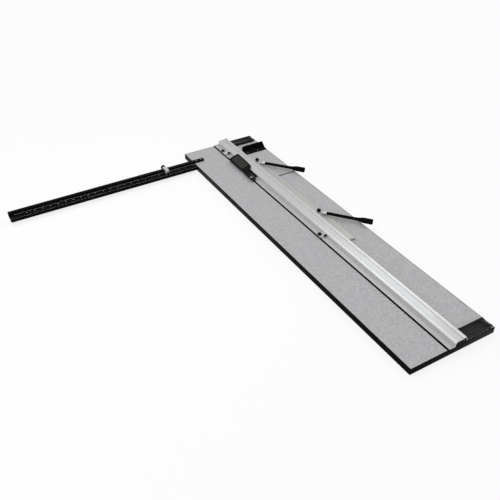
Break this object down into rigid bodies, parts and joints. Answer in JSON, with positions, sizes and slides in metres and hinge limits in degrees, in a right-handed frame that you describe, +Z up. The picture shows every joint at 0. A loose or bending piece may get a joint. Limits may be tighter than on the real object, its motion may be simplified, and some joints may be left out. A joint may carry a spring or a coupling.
{
  "type": "mat cutter",
  "caption": "Board-mounted mat cutter: a long board with a hinged guide rail, sliding cutting head, rail stops, adjustable mat guide with lever locks and a squaring arm.",
  "frame": {"origin": "centre of the underside of the near left foot", "axes": "+Z up out of the cutting surface, +Y along the guide rail from the near end to the end with the squaring arm, +X from the squaring arm's side towards the hinge side"},
  "size_m": [0.9607, 1.2192, 0.0462],
  "materials": {
    "board_laminate": "pale grey speckled laminate over fibreboard, satin",
    "black_edge": "black extruded edging, satin",
    "black_plastic": "black moulded plastic, fine texture",
    "rubber": "matt black rubber",
    "rail_aluminium": "clear anodised extrusion, satin",
    "bar_aluminium": "warm grey anodised extrusion, satin",
    "arm_aluminium": "black anodised extrusion, satin",
    "channel_metal": "dark anodised channel, satin",
    "steel": "bright plated steel",
    "blade_steel": "ground blade steel",
    "head_plastic": "black moulded plastic, satin",
    "press_plastic": "dark grey moulded plastic, satin",
    "knob_plastic": "black moulded plastic, semi gloss",
    "grip_plastic": "black vinyl grip",
    "black_steel": "black painted steel, satin"
  },
  "bodies": {
    "board": {"baseboard": "board_laminate", "edge_band": "black_edge", "cutting_strip": "black_plastic", "guide_channel": "channel_metal", "rubber_feet": "rubber", "hinge_base_near": "black_plastic", "hinge_base_far": "black_plastic", "hinge_pin_near": "steel", "hinge_pin_far": "steel", "hinge_base_screws": "steel", "squaring_arm": "arm_aluminium", "squaring_arm_screws": "black_steel", "squaring_arm_cap": "black_plastic", "end_bracket": "black_steel", "end_bracket_screws": "steel"},
    "rail": {"guide_rail": "rail_aluminium", "rail_grip_strip": "rubber", "rail_cap_near": "black_plastic", "rail_cap_far": "black_plastic", "hinge_arm_near": "black_plastic", "hinge_arm_far": "black_plastic", "hinge_arm_screws": "steel"},
    "carriage": {"head_shoe": "head_plastic", "head_housing": "head_plastic", "head_axle": "steel", "head_screws": "steel", "depth_screw": "steel", "return_spring": "steel"},
    "press": {"press_arm": "press_plastic", "blade_holder": "steel", "blade": "blade_steel", "blade_screw": "steel"},
    "mid_stop": {"mid_stop_block": "bar_aluminium", "mid_stop_bumper": "rubber"},
    "mid_stop_screw": {"mid_stop_knob": "knob_plastic"},
    "far_stop": {"far_stop_block": "bar_aluminium", "far_stop_bumper": "rubber"},
    "far_stop_screw": {"far_stop_knob": "knob_plastic"},
    "arm_stop": {"arm_stop_block": "bar_aluminium"},
    "arm_stop_screw": {"arm_stop_knob": "knob_plastic"},
    "mat_guide": {"mat_guide_bar": "bar_aluminium", "mat_guide_end": "black_plastic", "guide_runner": "black_plastic"},
    "near_lever": {"lever_hub_near": "steel", "lever_rod_near": "black_steel", "lever_grip_near": "grip_plastic"},
    "far_lever": {"lever_hub_far": "steel", "lever_rod_far": "black_steel", "lever_grip_far": "grip_plastic"},
    "near_thumbscrew": {"bar_knob_near": "knob_plastic"},
    "far_thumbscrew": {"bar_knob_far": "knob_plastic"}
  },
  "joints": [
    {"name": "rail_lift", "type": "hinge", "parent": "board", "child": "rail", "pos_m": [0.242, 0.5856, 0.02635], "axis": [0, 1, 0], "range_deg": [0, 80]},
    {"name": "head_slide", "type": "slide", "parent": "rail", "child": "carriage", "axis": [0, 1, 0], "range_m": [-0.355, 0.042]},
    {"name": "blade_press", "type": "hinge", "parent": "carriage", "child": "press", "pos_m": [0.1105, 0.976, 0.03165], "axis": [1, 0, 0], "range_deg": [0, 3.4], "stiffness_Nm_per_rad": 2, "springref_deg": -4.98, "deforming": ["return_spring"]},
    {"name": "mid_stop_slide", "type": "slide", "parent": "rail", "child": "mid_stop", "axis": [0, 1, 0], "range_m": [-0.5, 0]},
    {"name": "mid_stop_turn", "type": "hinge", "parent": "mid_stop", "child": "mid_stop_screw", "pos_m": [0.101, 0.5193, 0.03105], "axis": [0, 0, 1], "range_deg": [0, 360]},
    {"name": "far_stop_slide", "type": "slide", "parent": "rail", "child": "far_stop", "axis": [0, 1, 0], "range_m": [0, 0.055]},
    {"name": "far_stop_turn", "type": "hinge", "parent": "far_stop", "child": "far_stop_screw", "pos_m": [0.101, 1.1298, 0.03105], "axis": [0, 0, 1], "range_deg": [0, 360]},
    {"name": "arm_stop_slide", "type": "slide", "parent": "board", "child": "arm_stop", "axis": [1, 0, 0], "range_m": [-0.52, 0.09]},
    {"name": "arm_stop_turn", "type": "hinge", "parent": "arm_stop", "child": "arm_stop_screw", "pos_m": [-0.135, 1.132, 0.02655], "axis": [0, 1, 0], "range_deg": [0, 360]},
    {"name": "mat_guide_slide", "type": "slide", "parent": "board", "child": "mat_guide", "axis": [1, 0, 0], "range_m": [-0.006, 0.055]},
    {"name": "near_lever_swing", "type": "hinge", "parent": "mat_guide", "child": "near_lever", "pos_m": [0.1745, 0.605, 0.03205], "axis": [0, 0, 1], "range_deg": [-30, 60]},
    {"name": "far_lever_swing", "type": "hinge", "parent": "mat_guide", "child": "far_lever", "pos_m": [0.1745, 0.976, 0.03205], "axis": [0, 0, 1], "range_deg": [-30, 60]},
    {"name": "near_thumbscrew_turn", "type": "hinge", "parent": "mat_guide", "child": "near_thumbscrew", "pos_m": [0.1725, 0.624, 0.03205], "axis": [0, 0, 1], "range_deg": [0, 360]},
    {"name": "far_thumbscrew_turn", "type": "hinge", "parent": "mat_guide", "child": "far_thumbscrew", "pos_m": [0.1725, 1.005, 0.03205], "axis": [0, 0, 1], "range_deg": [0, 360]}
  ]
}
